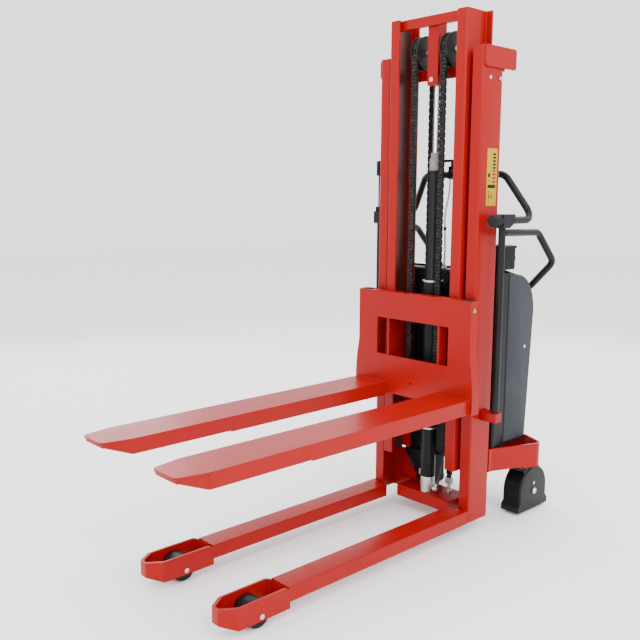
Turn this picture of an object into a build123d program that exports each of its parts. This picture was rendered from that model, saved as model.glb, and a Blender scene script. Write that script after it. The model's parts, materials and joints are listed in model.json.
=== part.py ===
"""Walk-behind stacker with a two-stage mast.

X runs across the machine, Y towards the operator, Z up. The floor is Z = 0, lengths are mm.
The mast stands as it is shown: raised part of the way, with the forks above the legs.
"""
from build123d import *
from math import atan2, cos, degrees, hypot, radians, sin
import os

os.makedirs("parts", exist_ok=True)

# ---------------------------------------------------------------- driving sizes
MAST_Y = 385.5          # front face of the outer mast
MAST_W = 469.0          # across the outer mast
MAST_D = 115.0          # outer mast, front to back
MAST_TOP = 1734.0       # top of the outer mast
MAST_FOOT = 43.0        # underside of mast and legs
WALL = 7.0              # channel and plate wall
OUTER_FLANGE = 45.0     # width of an outer channel's flanges

INNER_W = 348.8         # across the outer faces of the inner webs
INNER_FRONT = -16.4     # front of the inner mast, from the outer mast's front
INNER_FLANGE = 43.4
INNER_WING = 23.4       # strip of the rear flange that stands outside the web
INNER_REAR = 98.7
INNER_BOTTOM = 227.0
INNER_TOP = 1860.0
FLANGE_T = 8.0

FORK_SPREAD = 540.0     # over the outer sides of the two forks
FORK_W = 150.0
FORK_T = 6.0
FORK_DEPTH = 48.0
FORK_TOP = 524.0
FORK_TIP = -1252.0
FORK_NOSE = 94.0        # length of the tapered nose ahead of the skirts
NOSE_LOW = 505.0        # underside of the nose at its tip
FORK_STEP_Y = -800.0    # where the skirts get deeper
FORK_STEP = 4.0

CARRIAGE_Y = -67.0      # front face of the carriage plate
CARRIAGE_W = 536.0
CARRIAGE_LOW_W = 568.0
CARRIAGE_TOP = 872.0
CARRIAGE_T = 8.0
CARRIAGE_SIDE = 32.0    # depth of the side strips behind the plate
WINDOW_W = 343.0
WINDOW_Z = (630.0, 771.0)

LEG_X = (151.6, 234.5)
LEG_Z = (43.0, 90.0)
LEG_FRONT = -860.0
YOKE_FRONT = -1097.0
YOKE_Z = (26.0, 94.0)
YOKE_OVER = 5.6         # how far a yoke stands out past its leg on each side
YOKE_WALL = 8.0
ROLLER_R = 40.0
ROLLER_W = 70.0
ROLLER_Y = -967.0
AXLE_R = 8.0

BEAM_Z = (43.0, 90.0)
BEAM_Y = (109.0, 141.0)

CYLINDER_Y = 50.0
BARREL_R = 28.5
ROD_R = 13.0
ROD_BOTTOM = 380.0
GLAND_Z = (1320.0, 1365.0, 1385.0)
SLEEVE_Z = (352.0, 912.0)
CLAMP_R = 38.0          # clamp round the top of the sleeve
FOOT_Z = (90.0, 154.0)

SHEAVE_X = 66.0
SHEAVE_Z = 1742.0
SHEAVE_PITCH_R = 50.0
CHAIN_W = 24.0
CHAIN_T = 12.0
SHEAVE_FLANGE_R = 60.0
SHEAVE_FLANGE_T = 2.6

REAR_RAIL_Z = (210.0, 297.0)
REAR_RAIL_T = 8.0
CASTOR_X = 225.0
CASTOR_SWIVEL_Y = 335.0
CASTOR_TRAIL = 46.0
CASTOR_R = 82.0
CASTOR_W = 50.0
GUARD_R = 100.0
GUARD_LIP = 8.0         # how far the foot of the guard stands out
GUARD_W = 80.0
GUARD_WALL = 4.0
GUARD_Z = (10.0, 90.0, 182.0)    # lower edge, start of the arch, top of the arch

CASE_W = 464.0
CASE_Y = (138.0, 206.7)
CASE_Z = (212.0, 952.0)
COVER_W = 469.0
COVER_Y = 207.0
COVER_Z = (303.0, 959.0)
SHELL = 4.0

POLE_X = 289.0
POLE_Y = 66.0
POLE_R = 12.5
TUBE_R = 13.0
TUBE_WALL = 2.5
GRIP_R = 20.0
HANDLE_Z = 1146.0
CROSSBAR = (186.0, 218.0, 1309.0)
PUSH_BAR = (196.0, 392.0, 880.0)

SPIN_FIT = 0.3          # clearance of rollers beside their tracks
BORE_FIT = 0.06         # radial clearance of a bore on its pin
GAP = 0.3               # gap left between pieces that only sit together

SIDES = (("left", -1), ("right", 1))


# ---------------------------------------------------------------- small helpers
def save(part, name):
    """Write one named sub-part."""
    part.label = name
    export_step(part, f"parts/{name}.step")


def block(x, y, z, mode=Mode.ADD):
    """A box between two limits on each axis, with Y counted from the outer mast's front."""
    middle = (sum(x) / 2, MAST_Y + sum(y) / 2, sum(z) / 2)
    with Locations(middle):
        Box(abs(x[1] - x[0]), abs(y[1] - y[0]), abs(z[1] - z[0]), mode=mode)


def rod_x(x, y, z, radius, mode=Mode.ADD):
    """A round bar along X."""
    with Locations(Location(((x[0] + x[1]) / 2, MAST_Y + y, z), (0, 90, 0))):
        Cylinder(radius, abs(x[1] - x[0]), mode=mode)


def rod_y(x, y, z, radius, mode=Mode.ADD):
    """A round bar along Y."""
    with Locations(Location((x, MAST_Y + (y[0] + y[1]) / 2, z), (90, 0, 0))):
        Cylinder(radius, abs(y[1] - y[0]), mode=mode)


def rod_z(x, y, z, radius, mode=Mode.ADD):
    """A round bar along Z."""
    with Locations((x, MAST_Y + y, (z[0] + z[1]) / 2)):
        Cylinder(radius, abs(z[1] - z[0]), mode=mode)


def facing_front(y):
    """A plane across the machine whose sketch is drawn in X and Z; it extrudes forwards."""
    return Plane((0, MAST_Y + y, 0), x_dir=(1, 0, 0), z_dir=(0, -1, 0))


def facing_side(x):
    """A plane along the machine whose sketch is drawn in Y (from the mast) and Z."""
    return Plane((x, MAST_Y, 0), x_dir=(0, 1, 0), z_dir=(1, 0, 0))


def level(z):
    """A level plane whose sketch is drawn in X and Y (from the mast)."""
    return Plane((0, MAST_Y, z), x_dir=(1, 0, 0), z_dir=(0, 0, 1))


def mirrored(points, s):
    """The same outline for the left (-1) or right (+1) side."""
    return [(s * x, y) for x, y in points]


# ---------------------------------------------------------------- base
leg_end = -18.0         # the inner half of a leg stops here, so the inner mast can pass
leg_notch_x = 200.5
with BuildPart() as legs:
    for side, s in SIDES:
        block((s * LEG_X[0], s * LEG_X[1]), (LEG_FRONT, 0), LEG_Z)
        block((s * (LEG_X[0] - 1), s * leg_notch_x), (leg_end, 1), LEG_Z, Mode.SUBTRACT)
    fillet(legs.edges().filter_by(Axis.Y).group_by(Axis.Z)[-1], 3)
    for side, s in SIDES:
        inner_x = (s * (LEG_X[0] + WALL), s * (LEG_X[1] - WALL))
        inner_z = (LEG_Z[0] + WALL, LEG_Z[1] - WALL)
        block(inner_x, (LEG_FRONT + WALL, leg_end - WALL), inner_z, Mode.SUBTRACT)
save(legs.part, "legs")

yoke_x = (LEG_X[0] - YOKE_OVER, LEG_X[1] + YOKE_OVER)
yoke_mid = sum(yoke_x) / 2
yoke_half = (yoke_x[1] - yoke_x[0]) / 2


def yoke_outline(middle, half, front, back):
    """A yoke in plan: straight sides that come in to a short flat nose."""
    nose = half - 30
    return ((middle - half, back), (middle - half, front + 46), (middle - nose, front),
            (middle + nose, front), (middle + half, front + 46), (middle + half, back))


with BuildPart() as load_yokes:
    for side, s in SIDES:
        with BuildSketch(level(YOKE_Z[0])):
            with BuildLine():
                Polyline(*yoke_outline(s * yoke_mid, yoke_half, YOKE_FRONT, LEG_FRONT - GAP), close=True)
            yoke_plan = make_face()
            fillet(yoke_plan.vertices().group_by(Axis.Y)[0], 10)
        extrude(amount=YOKE_Z[1] - YOKE_Z[0])
        with BuildSketch(level(YOKE_Z[0] - 1)):
            with BuildLine():
                Polyline(*yoke_outline(s * yoke_mid, yoke_half - YOKE_WALL, YOKE_FRONT + YOKE_WALL,
                                       LEG_FRONT - GAP - YOKE_WALL), close=True)
            yoke_hole = make_face()
            fillet(yoke_hole.vertices(), 6)
        extrude(amount=YOKE_Z[1] - YOKE_Z[0] + 2, mode=Mode.SUBTRACT)
        rod_x((s * (yoke_x[0] - 1), s * (yoke_x[1] + 1)), ROLLER_Y, ROLLER_R, AXLE_R + BORE_FIT, Mode.SUBTRACT)
    with BuildSketch(facing_side(-MAST_W)):
        with BuildLine():
            Polyline((YOKE_FRONT - 5, 0), (YOKE_FRONT + 48, 0), (YOKE_FRONT + 48, YOKE_Z[0]),
                     (YOKE_FRONT - 5, 48), close=True)
        make_face()
    extrude(amount=2 * MAST_W, mode=Mode.SUBTRACT)
    with BuildSketch(facing_side(-MAST_W)):
        with BuildLine():
            Polyline((LEG_FRONT - 26, YOKE_Z[1] + 1), (LEG_FRONT + 1, YOKE_Z[1] + 1), (LEG_FRONT + 1, YOKE_Z[1] - 9),
                     (LEG_FRONT - 10, YOKE_Z[1] - 4), close=True)
        make_face()
    extrude(amount=2 * MAST_W, mode=Mode.SUBTRACT)
save(load_yokes.part, "load_yokes")

for side, s in SIDES:
    with BuildPart() as load_roller:
        rod_x((s * (yoke_mid - ROLLER_W / 2), s * (yoke_mid + ROLLER_W / 2)), ROLLER_Y, ROLLER_R, ROLLER_R)
        fillet(load_roller.edges().filter_by(GeomType.CIRCLE), 3)
        rod_x((s * yoke_x[0], s * yoke_x[1]), ROLLER_Y, ROLLER_R, AXLE_R + BORE_FIT, Mode.SUBTRACT)
    save(load_roller.part, f"load_roller_{side}")

with BuildPart() as load_axles:
    for side, s in SIDES:
        rod_x((s * (yoke_x[0] - 2.5), s * (yoke_x[1] + 2.5)), ROLLER_Y, ROLLER_R, AXLE_R)
save(load_axles.part, "load_axles")

half_mast = MAST_W / 2
beam_end = half_mast - WALL - GAP
inner_end = half_mast - OUTER_FLANGE - 3
gusset_t = 6.0
gusset_arc = ((180, 208), (146, 149), (112, 115))
with BuildPart() as base_crossbeam:
    block((-inner_end, inner_end), BEAM_Y, BEAM_Z)
    block((-beam_end, beam_end), (BEAM_Y[0], MAST_D), BEAM_Z)
    fillet(base_crossbeam.edges().filter_by(Axis.X), 2)
    hollow_y = (BEAM_Y[0] + WALL, BEAM_Y[1] - WALL)
    block((-inner_end + WALL, inner_end - WALL), hollow_y, (BEAM_Z[0] + WALL, BEAM_Z[1] - WALL), Mode.SUBTRACT)
    for side, s in SIDES:
        with BuildSketch(facing_front(MAST_D + GAP + gusset_t)):
            with BuildLine():
                ThreePointArc(*mirrored(gusset_arc, s))
                Polyline(*mirrored((gusset_arc[2], (112, BEAM_Z[1] - 1), (226, BEAM_Z[1] - 1), (226, 208),
                                    gusset_arc[0]), s))
            make_face()
        extrude(amount=gusset_t)
save(base_crossbeam.part, "base_crossbeam")

seat_half = 129.4
seat_y = (18.0, BEAM_Y[0] - GAP)
with BuildPart() as cylinder_seat:
    block((-seat_half, seat_half), seat_y, BEAM_Z)
    fillet(cylinder_seat.edges().filter_by(Axis.X), 4)
    block((-seat_half + WALL, seat_half - WALL), (seat_y[0] + WALL, seat_y[1] - WALL),
          (BEAM_Z[0] + WALL, BEAM_Z[1] - WALL), Mode.SUBTRACT)
save(cylinder_seat.part, "cylinder_seat")

# ---------------------------------------------------------------- outer mast
outer_x = (half_mast - OUTER_FLANGE, half_mast)
for side, s in SIDES:
    with BuildPart() as outer_mast:
        with BuildSketch(level(MAST_FOOT)):
            with BuildLine():
                Polyline(*mirrored(((outer_x[0], GAP), (outer_x[1], GAP), (outer_x[1], MAST_D),
                                    (outer_x[0], MAST_D), (outer_x[0], MAST_D - WALL),
                                    (outer_x[1] - WALL, MAST_D - WALL), (outer_x[1] - WALL, WALL + GAP),
                                    (outer_x[0], WALL + GAP)), s), close=True)
            channel = make_face()
            fillet(channel.vertices().group_by(Axis.X)[-1 if s > 0 else 0], 6)
        extrude(amount=MAST_TOP - MAST_FOOT)
        lower_flange = (s * outer_x[0], s * (outer_x[1] - WALL))
        block(lower_flange, (MAST_D - WALL - 1, MAST_D + 1), (MAST_FOOT - 1, BEAM_Z[1] + GAP), Mode.SUBTRACT)
    save(outer_mast.part, f"outer_mast_{side}")

plate_z = (1663.0, MAST_TOP)
plate_y = (4.0, 182.0)
plate_t = 8.0
with BuildPart() as mast_top_plates:
    for side, s in SIDES:
        block((s * (half_mast + 0.05), s * (half_mast + plate_t)), plate_y, plate_z)
    fillet(mast_top_plates.edges().filter_by(Axis.X), 12)
    block((-half_mast, half_mast), (MAST_D + 0.05, MAST_D + 10), (plate_z[0] - 8, plate_z[1] - 31))
save(mast_top_plates.part, "mast_top_plates")

# ---------------------------------------------------------------- inner mast
inner_x = (INNER_W / 2 - INNER_FLANGE, INNER_W / 2)
roller_track = (WALL + GAP, MAST_D - WALL)
mast_roller_y = sum(roller_track) / 2
mast_roller_r = (roller_track[1] - roller_track[0]) / 2 - SPIN_FIT
mast_roller_x = (201.0, 224.0)
mast_roller_z = INNER_BOTTOM + 62
stub_r = 14.0
for side, s in SIDES:
    with BuildPart() as inner_mast:
        with BuildSketch(level(INNER_BOTTOM)):
            with BuildLine():
                Polyline(*mirrored(((inner_x[0], INNER_FRONT), (inner_x[1], INNER_FRONT),
                                    (inner_x[1], INNER_REAR - FLANGE_T),
                                    (inner_x[1] + INNER_WING, INNER_REAR - FLANGE_T),
                                    (inner_x[1] + INNER_WING, INNER_REAR), (inner_x[0], INNER_REAR),
                                    (inner_x[0], INNER_REAR - FLANGE_T),
                                    (inner_x[1] - WALL, INNER_REAR - FLANGE_T),
                                    (inner_x[1] - WALL, INNER_FRONT + FLANGE_T),
                                    (inner_x[0], INNER_FRONT + FLANGE_T)), s), close=True)
            profile = make_face()
            front_corner = profile.vertices().group_by(Axis.Y)[0].sort_by(Axis.X)[-1 if s > 0 else 0]
            fillet(front_corner, 6)
        extrude(amount=INNER_TOP - INNER_BOTTOM)
        rod_x((s * inner_x[1], s * mast_roller_x[1]), mast_roller_y, mast_roller_z, stub_r)
    save(inner_mast.part, f"inner_mast_{side}")

with BuildPart() as mast_rollers:
    for side, s in SIDES:
        rod_x((s * mast_roller_x[0], s * mast_roller_x[1]), mast_roller_y, mast_roller_z, mast_roller_r)
    fillet(mast_rollers.edges().filter_by(GeomType.CIRCLE), 1.5)
    for side, s in SIDES:
        rod_x((s * 190, s * 230), mast_roller_y, mast_roller_z, stub_r + BORE_FIT, Mode.SUBTRACT)
save(mast_rollers.part, "mast_rollers")

head_w = 24.0
head_bottom = 1621.0
beam_bottom = 1825.0
beam_half = INNER_W / 2 - WALL - 0.05
head_front = 18.0
head_back = 64.0
with BuildPart() as mast_head:
    block((-beam_half, beam_half), (head_front - 14, head_front + 2), (beam_bottom, INNER_TOP))
    block((-head_w, head_w), (head_front, head_back), (head_bottom, INNER_TOP))
    fillet(mast_head.edges().filter_by(Axis.Y).group_by(Axis.Z)[0], 6)
    rod_x((-head_w - 1, head_w + 1), CYLINDER_Y, SHEAVE_Z, 12 + BORE_FIT, Mode.SUBTRACT)
save(mast_head.part, "mast_head")

with BuildPart() as lift_rod:
    rod_z(0, CYLINDER_Y, (ROD_BOTTOM, head_bottom - 0.05), ROD_R)
    rod_z(0, CYLINDER_Y, (ROD_BOTTOM, ROD_BOTTOM + 40), BARREL_R - 4 - BORE_FIT)
save(lift_rod.part, "lift_rod")

sheave_half = CHAIN_W / 2 + SHEAVE_FLANGE_T + 0.5
with BuildPart() as mast_head_pins:
    rod_x((-SHEAVE_X - sheave_half - 3, SHEAVE_X + sheave_half + 3), CYLINDER_Y, SHEAVE_Z, 12)
    with BuildSketch(facing_front(head_front - 0.05)):
        with Locations((0, head_bottom + 20)):
            RegularPolygon(9, 6)
    extrude(amount=7)
save(mast_head_pins.part, "mast_head_pins")

with BuildPart() as chain_sheaves:
    for side, s in SIDES:
        rim = (s * (SHEAVE_X - sheave_half), s * (SHEAVE_X + sheave_half))
        rod_x(rim, CYLINDER_Y, SHEAVE_Z, SHEAVE_FLANGE_R)
        groove = (s * (SHEAVE_X - CHAIN_W / 2 - 0.5), s * (SHEAVE_X + CHAIN_W / 2 + 0.5))
        rod_x(groove, CYLINDER_Y, SHEAVE_Z, SHEAVE_FLANGE_R + 1, Mode.SUBTRACT)
        rod_x(rim, CYLINDER_Y, SHEAVE_Z, SHEAVE_PITCH_R - CHAIN_T / 2 - GAP)
    for side, s in SIDES:
        rod_x((0, s * 120), CYLINDER_Y, SHEAVE_Z, 12 + BORE_FIT, Mode.SUBTRACT)
save(chain_sheaves.part, "chain_sheaves")

# ---------------------------------------------------------------- lift chains
chain_y = (CYLINDER_Y - SHEAVE_PITCH_R, CYLINDER_Y + SHEAVE_PITCH_R)
anchor_z = 560.0        # where the front falls end on the carriage
stud_z = 150.0          # where the rear falls end on their studs
with BuildPart() as chain_wraps:
    for side, s in SIDES:
        strip = (s * (SHEAVE_X - CHAIN_W / 2), s * (SHEAVE_X + CHAIN_W / 2))
        rod_x(strip, CYLINDER_Y, SHEAVE_Z, SHEAVE_PITCH_R + CHAIN_T / 2)
    for side, s in SIDES:
        rod_x((0, s * 120), CYLINDER_Y, SHEAVE_Z, SHEAVE_PITCH_R - CHAIN_T / 2, Mode.SUBTRACT)
    block((-120, 120), (-60, 160), (SHEAVE_Z - 90, SHEAVE_Z), Mode.SUBTRACT)
save(chain_wraps.part, "chain_wraps")

with BuildPart() as front_chains:
    for side, s in SIDES:
        strip = (s * (SHEAVE_X - CHAIN_W / 2), s * (SHEAVE_X + CHAIN_W / 2))
        fall_y = (chain_y[0] - CHAIN_T / 2, chain_y[0] + CHAIN_T / 2)
        block(strip, fall_y, (anchor_z, SHEAVE_Z))
save(front_chains.part, "front_chains")

with BuildPart() as rear_chains:
    for side, s in SIDES:
        strip = (s * (SHEAVE_X - CHAIN_W / 2), s * (SHEAVE_X + CHAIN_W / 2))
        fall_y = (chain_y[1] - CHAIN_T / 2, chain_y[1] + CHAIN_T / 2)
        block(strip, fall_y, (stud_z, SHEAVE_Z))
save(rear_chains.part, "rear_chains")

with BuildPart() as rear_chain_studs:
    for side, s in SIDES:
        rod_z(s * SHEAVE_X, chain_y[1], (BEAM_Z[1] + 0.05, stud_z - 22), 6)
        rod_z(s * SHEAVE_X, chain_y[1], (BEAM_Z[1] + 0.05, BEAM_Z[1] + 9), 11)
        block((s * (SHEAVE_X - 15), s * (SHEAVE_X + 15)), (chain_y[1] - 6, chain_y[1] + 6),
              (stud_z - 24, stud_z - 0.05))
save(rear_chain_studs.part, "rear_chain_studs")

# ---------------------------------------------------------------- lift cylinder
with BuildPart() as cylinder_foot:
    rod_z(0, CYLINDER_Y, (FOOT_Z[0] + 0.05, FOOT_Z[1]), 27)
    chamfer(cylinder_foot.edges().filter_by(GeomType.CIRCLE), 1.5)
save(cylinder_foot.part, "cylinder_foot")

with BuildPart() as cylinder_barrel:
    rod_z(0, CYLINDER_Y, (FOOT_Z[1] + 0.05, GLAND_Z[0]), BARREL_R)
    rod_z(0, CYLINDER_Y, (SLEEVE_Z[0], SLEEVE_Z[1]), BARREL_R + 2.5)
    rod_z(0, CYLINDER_Y, (SLEEVE_Z[1] - 52, SLEEVE_Z[1]), CLAMP_R)
    rod_z(0, CYLINDER_Y, (FOOT_Z[1] + 12, GLAND_Z[0] + 1), BARREL_R - 4, Mode.SUBTRACT)
save(cylinder_barrel.part, "cylinder_barrel")

with BuildPart() as sleeve_rings:
    for z in SLEEVE_Z:
        ring_z = (z - 6, z - 0.05) if z == SLEEVE_Z[0] else (z + 0.05, z + 6)
        rod_z(0, CYLINDER_Y, ring_z, BARREL_R + 4 if z == SLEEVE_Z[0] else CLAMP_R + 1)
    rod_z(0, CYLINDER_Y, (SLEEVE_Z[0] - 20, SLEEVE_Z[1] + 20), BARREL_R + 0.05, Mode.SUBTRACT)
save(sleeve_rings.part, "sleeve_rings")

with BuildPart() as cylinder_gland:
    rod_z(0, CYLINDER_Y, (GLAND_Z[0] + 0.05, GLAND_Z[1]), 23)
    rod_z(0, CYLINDER_Y, (GLAND_Z[1], GLAND_Z[2]), 19)
    chamfer(cylinder_gland.edges().filter_by(GeomType.CIRCLE).group_by(Axis.Z)[-1], 2)
    rod_z(0, CYLINDER_Y, (GLAND_Z[0] - 1, GLAND_Z[2] + 1), ROD_R + BORE_FIT, Mode.SUBTRACT)
save(cylinder_gland.part, "cylinder_gland")

# ---------------------------------------------------------------- carriage and forks
half_top = CARRIAGE_W / 2
half_low = CARRIAGE_LOW_W / 2
fork_in = FORK_SPREAD / 2 - FORK_W
fork_out = FORK_SPREAD / 2
skirt_bottom = FORK_TOP - FORK_DEPTH
plate_bottom = 483.0
side_outline = ((half_top, CARRIAGE_TOP), (half_top, 676), (half_low - 4, 600), (half_low, 540),
                (half_low, skirt_bottom - FORK_STEP))
plate_back = CARRIAGE_Y + CARRIAGE_T
strip_back = plate_back + CARRIAGE_SIDE
track = (INNER_FRONT + FLANGE_T, INNER_REAR - FLANGE_T)
carriage_roller_y = sum(track) / 2
carriage_roller_r = (track[1] - track[0]) / 2 - SPIN_FIT
carriage_roller_x = (138.0, 162.0)
carriage_roller_z = (530.0, 800.0)
arm_x = (117.0, 126.0)
arm_z = (516.0, 850.0)
with BuildPart() as carriage_frame:
    with BuildSketch(facing_front(plate_back)):
        with BuildLine():
            right_edge = list(side_outline)
            under = [(fork_out - FORK_T + GAP, skirt_bottom - FORK_STEP), (fork_out - FORK_T + GAP, FORK_TOP),
                     (fork_in + FORK_T - GAP, FORK_TOP), (fork_in + FORK_T - GAP, plate_bottom)]
            right_half = right_edge + under
            left_half = [(-x, z) for x, z in reversed(right_half)]
            Polyline(*(right_half + left_half), close=True)
        make_face()
        with Locations((0, sum(WINDOW_Z) / 2)):
            Rectangle(WINDOW_W, WINDOW_Z[1] - WINDOW_Z[0], mode=Mode.SUBTRACT)
        with Locations((0, 537)):
            Circle(4, mode=Mode.SUBTRACT)
    extrude(amount=CARRIAGE_T)
    for side, s in SIDES:
        inner_edge = [(x - CARRIAGE_T, z) for x, z in reversed(side_outline)]
        with BuildSketch(facing_front(strip_back)):
            with BuildLine():
                Polyline(*mirrored(list(side_outline) + inner_edge, s), close=True)
            make_face()
        extrude(amount=CARRIAGE_SIDE)
        block((s * arm_x[0], s * arm_x[1]), (plate_back, carriage_roller_y + 34), arm_z)
        for z in carriage_roller_z:
            rod_x((s * arm_x[1], s * carriage_roller_x[1]), carriage_roller_y, z, stub_r)
    rail_z = (CARRIAGE_TOP - 8, CARRIAGE_TOP)
    block((-half_top + 50, half_top - 50), (plate_back, strip_back), rail_z)
    for i in range(5):
        slot_x = -84 + 42 * i
        block((slot_x - 13, slot_x + 13), (plate_back + 5, strip_back - 5), (rail_z[0] - 1, rail_z[1] + 1),
              Mode.SUBTRACT)
    block((-arm_x[0], arm_x[0]), (plate_back, -26), (arm_z[1] - 12, arm_z[1]))
    block((-arm_x[0], arm_x[0]), (plate_back, 12), (500, 512))
save(carriage_frame.part, "carriage_frame")

with BuildPart() as front_chain_studs:
    for side, s in SIDES:
        rod_z(s * SHEAVE_X, chain_y[0], (512.05, anchor_z - 22), 6)
        rod_z(s * SHEAVE_X, chain_y[0], (512.05, 521), 11)
        block((s * (SHEAVE_X - 15), s * (SHEAVE_X + 15)), (chain_y[0] - 6, chain_y[0] + 6),
              (anchor_z - 24, anchor_z - 0.05))
save(front_chain_studs.part, "front_chain_studs")

with BuildPart() as carriage_caps:
    for side, s in SIDES:
        block((s * (half_top - 49.7), s * (half_top - CARRIAGE_T - GAP)), (plate_back + GAP, strip_back),
              (CARRIAGE_TOP - 14, CARRIAGE_TOP + 3))
    chamfer(carriage_caps.edges().group_by(Axis.Z)[-1], 1.5)
save(carriage_caps.part, "carriage_caps")

for level_name, z in zip(("lower", "upper"), carriage_roller_z):
    with BuildPart() as carriage_rollers:
        for side, s in SIDES:
            rod_x((s * carriage_roller_x[0], s * carriage_roller_x[1]), carriage_roller_y, z,
                  carriage_roller_r)
        fillet(carriage_rollers.edges().filter_by(GeomType.CIRCLE), 1.5)
        for side, s in SIDES:
            rod_x((s * 130, s * 170), carriage_roller_y, z, stub_r + BORE_FIT, Mode.SUBTRACT)
    save(carriage_rollers.part, f"carriage_rollers_{level_name}")

skirt_front = FORK_TIP + FORK_NOSE
fork_heel = CARRIAGE_Y - 0.05
nose_in = 20.0          # how far the sides of the nose come in at the tip
for side, s in SIDES:
    with BuildPart() as fork:
        with BuildSketch(level(FORK_TOP - FORK_T)):
            with BuildLine():
                Polyline(*mirrored(((fork_in, fork_heel), (fork_out, fork_heel), (fork_out, skirt_front),
                                    (fork_out - nose_in, FORK_TIP), (fork_in + nose_in, FORK_TIP),
                                    (fork_in, skirt_front)), s), close=True)
            fork_plan = make_face()
            fillet(fork_plan.vertices().group_by(Axis.Y)[0], 18)
        extrude(amount=FORK_T)
        for x in ((fork_in, fork_in + FORK_T), (fork_out - FORK_T, fork_out)):
            block((s * x[0], s * x[1]), (skirt_front, fork_heel), (skirt_bottom, FORK_TOP - FORK_T / 2))
            block((s * x[0], s * x[1]), (FORK_STEP_Y, fork_heel), (skirt_bottom - FORK_STEP, FORK_TOP - FORK_T))
        wedge_back = skirt_front + 6
        with BuildSketch(level(skirt_bottom)):
            with BuildLine():
                Polyline(*mirrored(((fork_in + 2, wedge_back), (fork_out - 2, wedge_back), (fork_out - 2, skirt_front),
                                    (fork_out - nose_in - 3, FORK_TIP + 8), (fork_in + nose_in + 3, FORK_TIP + 8),
                                    (fork_in + 2, skirt_front)), s), close=True)
            make_face()
        extrude(amount=FORK_DEPTH - FORK_T / 2)
        with BuildSketch(facing_side(s * (fork_in + fork_out) / 2 - FORK_W)):
            with BuildLine():
                Polyline((FORK_TIP - 2, NOSE_LOW), (FORK_TIP + 14, NOSE_LOW), (wedge_back - 8, skirt_bottom),
                         (wedge_back + 1, skirt_bottom), (wedge_back + 1, skirt_bottom - 20),
                         (FORK_TIP - 2, skirt_bottom - 20), close=True)
            make_face()
        extrude(amount=2 * FORK_W, mode=Mode.SUBTRACT)
        with BuildSketch(facing_side(s * (fork_in + fork_out) / 2 - (FORK_W / 2 - nose_in - 10))):
            with BuildLine():
                Polyline((FORK_TIP + 40, FORK_TOP - FORK_T), (wedge_back + 1, FORK_TOP - FORK_T),
                         (wedge_back + 1, skirt_bottom + 6), (wedge_back - 8, skirt_bottom + 6), close=True)
            make_face()
        extrude(amount=FORK_W - 2 * nose_in - 20, mode=Mode.SUBTRACT)
    save(fork.part, f"fork_{side}")

# ---------------------------------------------------------------- rear frame and castors
rail_out = ((half_mast - REAR_RAIL_T / 2, MAST_D + 0.3), (half_mast - REAR_RAIL_T / 2, 136),
            (314, 343), (216, 389))
with BuildPart() as rear_frame:
    with BuildSketch(level(REAR_RAIL_Z[0])):
        with BuildLine():
            rail_left = [(-x, y) for x, y in reversed(rail_out)]
            FilletPolyline(*(list(rail_out) + rail_left), radius=30)
        trace(line_width=REAR_RAIL_T)
    extrude(amount=REAR_RAIL_Z[1] - REAR_RAIL_Z[0])
    mount_z = (REAR_RAIL_Z[0] - 8, REAR_RAIL_Z[0] + 0.5)
    for side, s in SIDES:
        with BuildSketch(level(mount_z[0])):
            with BuildLine():
                Polyline(*mirrored(((160, 300), (160, 385), (216, 385), (308, 342), (284, 272), (200, 272)), s),
                         close=True)
            make_face()
        extrude(amount=mount_z[1] - mount_z[0])
save(rear_frame.part, "rear_frame")

castor_trail = {-1: -CASTOR_TRAIL, 1: CASTOR_TRAIL}    # the left one has swung round
crown_z = (174.0, 184.0)
with BuildPart() as castor_plates:
    for side, s in SIDES:
        cx = s * CASTOR_X
        plate_half = 36
        block((cx - plate_half - 6, cx + plate_half + 6),
              (CASTOR_SWIVEL_Y - plate_half, CASTOR_SWIVEL_Y + plate_half), (mount_z[0] - 6, mount_z[0] - 0.05))
        rod_z(cx, CASTOR_SWIVEL_Y, (crown_z[1] + 0.1, mount_z[0] - 3), 32)
        rod_z(cx, CASTOR_SWIVEL_Y, (crown_z[0] - 3, mount_z[0] - 3), 8)
save(castor_plates.part, "castor_plates")

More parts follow.
